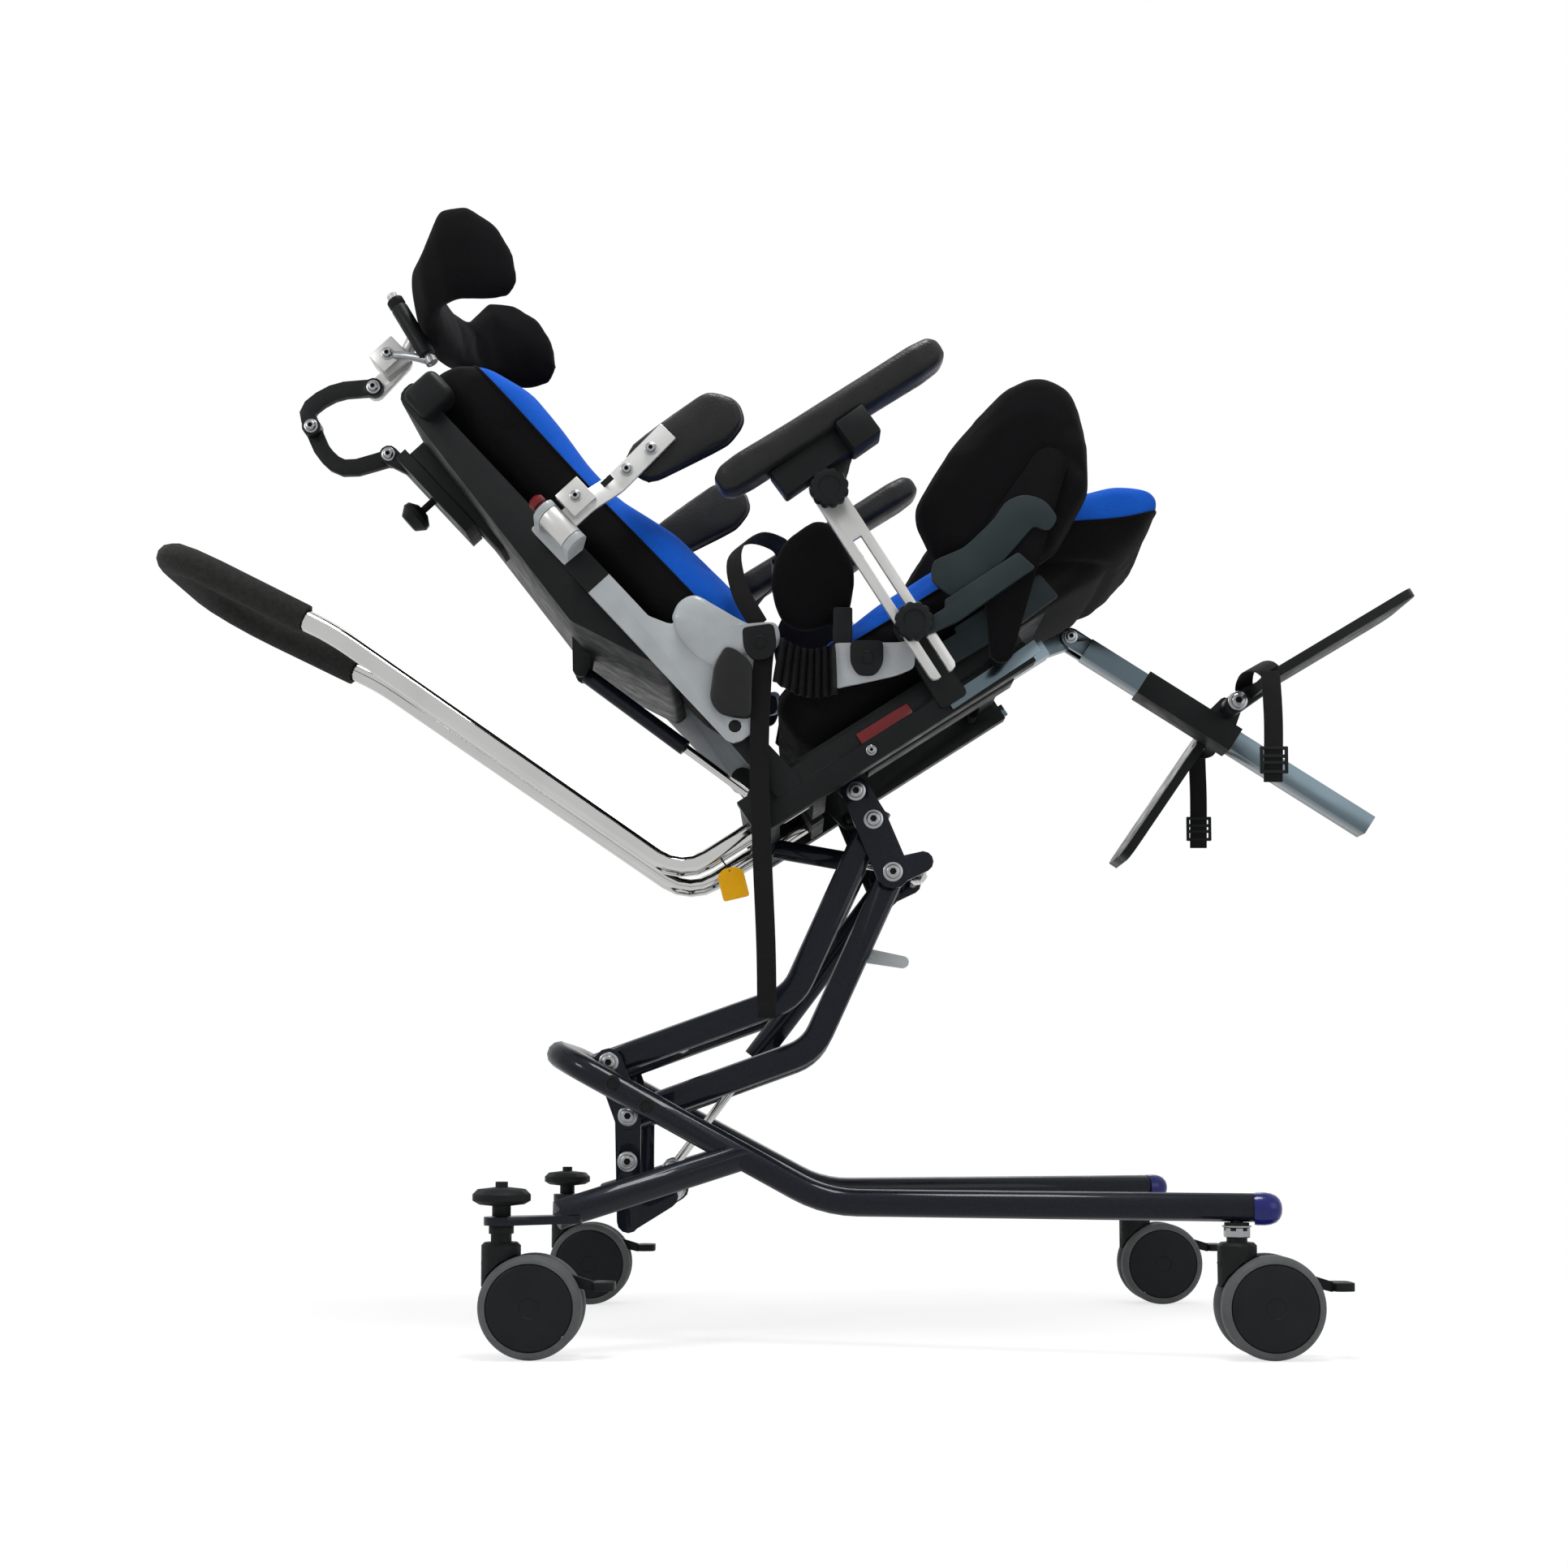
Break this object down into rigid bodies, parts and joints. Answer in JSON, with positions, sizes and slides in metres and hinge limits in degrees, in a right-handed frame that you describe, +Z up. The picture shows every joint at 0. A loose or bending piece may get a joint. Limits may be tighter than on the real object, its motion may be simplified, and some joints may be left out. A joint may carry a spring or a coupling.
{
  "type": "pediatric activity chair",
  "caption": "Wheeled height-adjustable child's activity chair with tilting seat, reclining back, headrest, side supports, armrests and folding foot plates.",
  "frame": {"origin": "on the floor, under the middle of the chair's overall box", "axes": "+X towards the foot plates, +Y to the sitter's left, +Z up"},
  "size_m": [1.347, 0.582, 1.202],
  "materials": {
    "frame_lacquer": "gloss",
    "caster_plastic": "satin",
    "dark_plastic": "satin",
    "tyre_rubber": "matte",
    "chrome": "polished",
    "aluminium": "satin",
    "silver_plastic": "satin",
    "black_fabric": "woven",
    "black_vinyl": "grained",
    "foam": "matte",
    "red_plastic": "gloss"
  },
  "bodies": {
    "base": {"base_tube": "frame_lacquer", "pivot_frame": "frame_lacquer"},
    "front_right_fork": {"front_right_caster_fork": "caster_plastic"},
    "front_right_wheel_pair": {"front_right_wheels": "tyre_rubber"},
    "front_right_brake": {"front_right_brake_pedal": "caster_plastic"},
    "front_left_fork": {"front_left_caster_fork": "caster_plastic"},
    "front_left_wheel_pair": {"front_left_wheels": "tyre_rubber"},
    "front_left_brake": {"front_left_brake_pedal": "caster_plastic"},
    "rear_right_fork": {"rear_right_caster_fork": "caster_plastic"},
    "rear_right_wheel_pair": {"rear_right_wheels": "tyre_rubber"},
    "rear_right_brake": {"rear_right_brake_pedal": "caster_plastic"},
    "rear_left_fork": {"rear_left_caster_fork": "caster_plastic"},
    "rear_left_wheel_pair": {"rear_left_wheels": "tyre_rubber"},
    "rear_left_brake": {"rear_left_brake_pedal": "caster_plastic"},
    "lower_arm": {"lower_arm": "frame_lacquer"},
    "upper_arm": {"upper_arm": "frame_lacquer"},
    "carrier": {"carrier": "frame_lacquer"},
    "lift_rod": {"lift_spring_rod": "chrome"},
    "lift_cylinder": {"lift_spring_cylinder": "frame_lacquer"},
    "height_lever": {"height_lever": "silver_plastic"},
    "seat": {"seat_frame": "frame_lacquer", "seat_cushion": "black_fabric", "hip_strap": "black_fabric"},
    "tilt_rod": {"tilt_spring_rod": "chrome"},
    "tilt_cylinder": {"tilt_spring_cylinder": "frame_lacquer"},
    "back": {"back_shell": "dark_plastic", "back_cushion": "black_fabric", "right_side_rail": "silver_plastic", "left_side_rail": "silver_plastic"},
    "recline_rod": {"recline_spring_rod": "chrome"},
    "recline_cylinder": {"recline_spring_cylinder": "frame_lacquer"},
    "right_lateral": {"right_lateral_arm": "frame_lacquer", "right_lateral_pad": "black_fabric"},
    "right_button": {"right_release_button": "red_plastic"},
    "right_thigh_guide": {"right_thigh_pad": "black_vinyl"},
    "right_post": {"right_armrest_post": "aluminium"},
    "right_armrest": {"right_armrest_pad": "black_vinyl"},
    "right_height_knob": {"right_lower_knob": "dark_plastic"},
    "right_angle_knob": {"right_upper_knob": "dark_plastic"},
    "left_lateral": {"left_lateral_arm": "frame_lacquer", "left_lateral_pad": "black_fabric"},
    "left_button": {"left_release_button": "red_plastic"},
    "left_thigh_guide": {"left_thigh_pad": "black_vinyl"},
    "left_post": {"left_armrest_post": "aluminium"},
    "left_armrest": {"left_armrest_pad": "black_vinyl"},
    "left_height_knob": {"left_lower_knob": "dark_plastic"},
    "left_angle_knob": {"left_upper_knob": "dark_plastic"},
    "headrest_slider": {"headrest_bracket": "dark_plastic"},
    "star_knob": {"star_knob": "dark_plastic"},
    "lower_link": {"headrest_lower_link": "dark_plastic"},
    "upper_link": {"headrest_upper_link": "dark_plastic"},
    "head": {"head_mount": "aluminium", "head_pad": "black_vinyl"},
    "push_handle": {"push_tube": "chrome", "push_grip": "foam"},
    "leg_extension": {"leg_extension": "chrome"},
    "leg_rail": {"leg_rail": "chrome"},
    "foot_clamp": {"foot_clamp": "dark_plastic"},
    "right_foot": {"right_foot_plate": "dark_plastic"},
    "left_foot": {"left_foot_plate": "dark_plastic"}
  },
  "joints": [
    {"name": "front_right_swivel", "type": "hinge", "parent": "base", "child": "front_right_fork", "pos_m": [0.4475, -0.26549, 0.1], "axis": [0, 0, 1], "continuous": true},
    {"name": "front_right_roll", "type": "hinge", "parent": "front_right_fork", "child": "front_right_wheel_pair", "pos_m": [0.4775, -0.26549, 0.04938], "axis": [0, 1, 0], "continuous": true},
    {"name": "front_right_brake_press", "type": "hinge", "parent": "front_right_fork", "child": "front_right_brake", "pos_m": [0.4895, -0.26549, 0.08138], "axis": [0, 1, 0], "range_deg": [0, 8]},
    {"name": "front_left_swivel", "type": "hinge", "parent": "base", "child": "front_left_fork", "pos_m": [0.4475, 0.26549, 0.1], "axis": [0, 0, 1], "continuous": true},
    {"name": "front_left_roll", "type": "hinge", "parent": "front_left_fork", "child": "front_left_wheel_pair", "pos_m": [0.4775, 0.26549, 0.04938], "axis": [0, 1, 0], "continuous": true},
    {"name": "front_left_brake_press", "type": "hinge", "parent": "front_left_fork", "child": "front_left_brake", "pos_m": [0.4895, 0.26549, 0.08138], "axis": [0, 1, 0], "range_deg": [0, 8]},
    {"name": "rear_right_swivel", "type": "hinge", "parent": "base", "child": "rear_right_fork", "pos_m": [-0.254, -0.262, 0.1], "axis": [0, 0, 1], "continuous": true},
    {"name": "rear_right_roll", "type": "hinge", "parent": "rear_right_fork", "child": "rear_right_wheel_pair", "pos_m": [-0.224, -0.262, 0.04938], "axis": [0, 1, 0], "continuous": true},
    {"name": "rear_right_brake_press", "type": "hinge", "parent": "rear_right_fork", "child": "rear_right_brake", "pos_m": [-0.212, -0.262, 0.08138], "axis": [0, 1, 0], "range_deg": [0, 8]},
    {"name": "rear_left_swivel", "type": "hinge", "parent": "base", "child": "rear_left_fork", "pos_m": [-0.254, 0.262, 0.1], "axis": [0, 0, 1], "continuous": true},
    {"name": "rear_left_roll", "type": "hinge", "parent": "rear_left_fork", "child": "rear_left_wheel_pair", "pos_m": [-0.224, 0.262, 0.04938], "axis": [0, 1, 0], "continuous": true},
    {"name": "rear_left_brake_press", "type": "hinge", "parent": "rear_left_fork", "child": "rear_left_brake", "pos_m": [-0.212, 0.262, 0.08138], "axis": [0, 1, 0], "range_deg": [0, 8]},
    {"name": "lift", "type": "hinge", "parent": "base", "child": "lower_arm", "pos_m": [-0.148, 0, 0.23], "axis": [0, 1, 0], "range_deg": [-3, 25]},
    {"name": "upper_arm_turn", "type": "hinge", "parent": "base", "child": "upper_arm", "pos_m": [-0.1685, 0, 0.286], "axis": [0, 1, 0], "range_deg": [-3, 25]},
    {"name": "carrier_turn", "type": "hinge", "parent": "lower_arm", "child": "carrier", "pos_m": [0.13, 0, 0.487], "axis": [0, 1, 0], "range_deg": [-25, 3]},
    {"name": "lift_spring_turn", "type": "hinge", "parent": "base", "child": "lift_rod", "pos_m": [-0.107, 0, 0.174], "axis": [0, 1, 0], "range_deg": [-3, 24.6]},
    {"name": "lift_spring_stroke", "type": "slide", "parent": "lift_rod", "child": "lift_cylinder", "axis": [0.6037, 0, 0.7972], "range_m": [-0.03, 0.0037]},
    {"name": "lever_press", "type": "hinge", "parent": "lower_arm", "child": "height_lever", "pos_m": [0.098, -0.066, 0.402], "axis": [0, 1, 0], "range_deg": [-14, 10]},
    {"name": "tilt", "type": "hinge", "parent": "carrier", "child": "seat", "pos_m": [0.091, 0, 0.573], "axis": [0, 1, 0], "range_deg": [-3, 35]},
    {"name": "tilt_spring_turn", "type": "hinge", "parent": "carrier", "child": "tilt_rod", "pos_m": [0.162, 0, 0.498], "axis": [0, 1, 0], "range_deg": [-1.6, 17.9]},
    {"name": "tilt_spring_stroke", "type": "slide", "parent": "tilt_rod", "child": "tilt_cylinder", "axis": [-0.9851, 0, 0.1721], "range_m": [-0.003, 0.0316]},
    {"name": "recline", "type": "hinge", "parent": "seat", "child": "back", "pos_m": [-0.035, 0, 0.63], "axis": [0, 1, 0], "range_deg": [-20, 5]},
    {"name": "recline_spring_turn", "type": "hinge", "parent": "seat", "child": "recline_rod", "pos_m": [-0.01826, 0, 0.58138], "axis": [0, 1, 0], "range_deg": [-16.8, 4.3]},
    {"name": "recline_spring_stroke", "type": "slide", "parent": "recline_rod", "child": "recline_cylinder", "axis": [-0.8027, 0, 0.5963], "range_m": [-0.0119, 0.0031]},
    {"name": "right_lateral_swing", "type": "hinge", "parent": "back", "child": "right_lateral", "pos_m": [-0.21339, -0.182, 0.8301], "axis": [-0.682, 0, 0.7314], "range_deg": [-90, 0]},
    {"name": "right_button_press", "type": "slide", "parent": "back", "child": "right_button", "axis": [-0.682, 0, 0.7314], "range_m": [-0.004, 0], "stiffness_N_per_m": 400, "springref_m": 0.002},
    {"name": "right_thigh_width", "type": "slide", "parent": "seat", "child": "right_thigh_guide", "axis": [0, -1, 0], "range_m": [0, 0.03]},
    {"name": "right_armrest_height", "type": "slide", "parent": "seat", "child": "right_post", "axis": [-0.5373, 0, 0.8434], "range_m": [-0.04, 0.03]},
    {"name": "right_armrest_angle", "type": "hinge", "parent": "right_post", "child": "right_armrest", "pos_m": [0.06106, -0.2, 0.86075], "axis": [0, 1, 0], "range_deg": [-20, 12]},
    {"name": "right_angle_knob_turn", "type": "hinge", "parent": "right_post", "child": "right_angle_knob", "pos_m": [0.06106, -0.2, 0.86075], "axis": [0, 1, 0], "continuous": true},
    {"name": "right_height_knob_turn", "type": "hinge", "parent": "seat", "child": "right_height_knob", "pos_m": [0.14649, -0.2, 0.72665], "axis": [0, 1, 0], "continuous": true},
    {"name": "left_lateral_swing", "type": "hinge", "parent": "back", "child": "left_lateral", "pos_m": [-0.21339, 0.182, 0.8301], "axis": [-0.682, 0, 0.7314], "range_deg": [0, 90]},
    {"name": "left_button_press", "type": "slide", "parent": "back", "child": "left_button", "axis": [-0.682, 0, 0.7314], "range_m": [-0.004, 0], "stiffness_N_per_m": 400, "springref_m": 0.002},
    {"name": "left_thigh_width", "type": "slide", "parent": "seat", "child": "left_thigh_guide", "axis": [0, 1, 0], "range_m": [0, 0.03]},
    {"name": "left_armrest_height", "type": "slide", "parent": "seat", "child": "left_post", "axis": [-0.5373, 0, 0.8434], "range_m": [-0.04, 0.03]},
    {"name": "left_armrest_angle", "type": "hinge", "parent": "left_post", "child": "left_armrest", "pos_m": [0.06106, 0.2, 0.86075], "axis": [0, 1, 0], "range_deg": [-20, 12]},
    {"name": "left_angle_knob_turn", "type": "hinge", "parent": "left_post", "child": "left_angle_knob", "pos_m": [0.06106, 0.2, 0.86075], "axis": [0, 1, 0], "continuous": true},
    {"name": "left_height_knob_turn", "type": "hinge", "parent": "seat", "child": "left_height_knob", "pos_m": [0.14649, 0.2, 0.72665], "axis": [0, 1, 0], "continuous": true},
    {"name": "headrest_height", "type": "slide", "parent": "back", "child": "headrest_slider", "axis": [-0.682, 0, 0.7314], "range_m": [-0.03, 0.04]},
    {"name": "star_knob_turn", "type": "hinge", "parent": "headrest_slider", "child": "star_knob", "pos_m": [-0.37506, 0, 0.92135], "axis": [0.7314, 0, 0.682], "continuous": true},
    {"name": "lower_link_turn", "type": "hinge", "parent": "headrest_slider", "child": "lower_link", "pos_m": [-0.4286, 0, 0.97042], "axis": [0, 1, 0], "range_deg": [-15, 5]},
    {"name": "upper_link_turn", "type": "hinge", "parent": "lower_link", "child": "upper_link", "pos_m": [-0.51606, 0, 1.00276], "axis": [0, 1, 0], "range_deg": [-15, 5]},
    {"name": "head_turn", "type": "hinge", "parent": "upper_link", "child": "head", "pos_m": [-0.44657, 0, 1.04746], "axis": [0, 1, 0], "range_deg": [-20, 10]},
    {"name": "push_handle_length", "type": "slide", "parent": "seat", "child": "push_handle", "axis": [-0.8434, 0, -0.5373], "range_m": [0, 0.04]},
    {"name": "leg_length", "type": "slide", "parent": "seat", "child": "leg_extension", "axis": [0.8434, 0, 0.5373], "range_m": [-0.02, 0.05]},
    {"name": "leg_angle", "type": "hinge", "parent": "leg_extension", "child": "leg_rail", "pos_m": [0.3325, 0, 0.76038], "axis": [0, 1, 0], "range_deg": [-60, 45]},
    {"name": "foot_height", "type": "slide", "parent": "leg_rail", "child": "foot_clamp", "axis": [0.8415, 0, -0.5402], "range_m": [-0.03, 0.15]},
    {"name": "right_foot_fold", "type": "hinge", "parent": "foot_clamp", "child": "right_foot", "pos_m": [0.50535, 0, 0.67793], "axis": [0, 1, 0], "range_deg": [0, 150]},
    {"name": "left_foot_fold", "type": "hinge", "parent": "foot_clamp", "child": "left_foot", "pos_m": [0.50535, 0, 0.67793], "axis": [0, 1, 0], "range_deg": [-150, 0]}
  ],
  "couplings": [
    {"joint": "upper_arm_turn", "follows": "lift", "ratio": 1},
    {"joint": "carrier_turn", "follows": "lift", "ratio": -1},
    {"joint": "lift_spring_turn", "follows": "lift", "ratio": 0.9768},
    {"joint": "lift_spring_stroke", "follows": "lift", "m_per_rad": -0.06843},
    {"joint": "tilt_spring_turn", "follows": "tilt", "ratio": 0.5073},
    {"joint": "tilt_spring_stroke", "follows": "tilt", "m_per_rad": 0.05136},
    {"joint": "recline_spring_turn", "follows": "recline", "ratio": 0.8342},
    {"joint": "recline_spring_stroke", "follows": "recline", "m_per_rad": 0.03335}
  ]
}
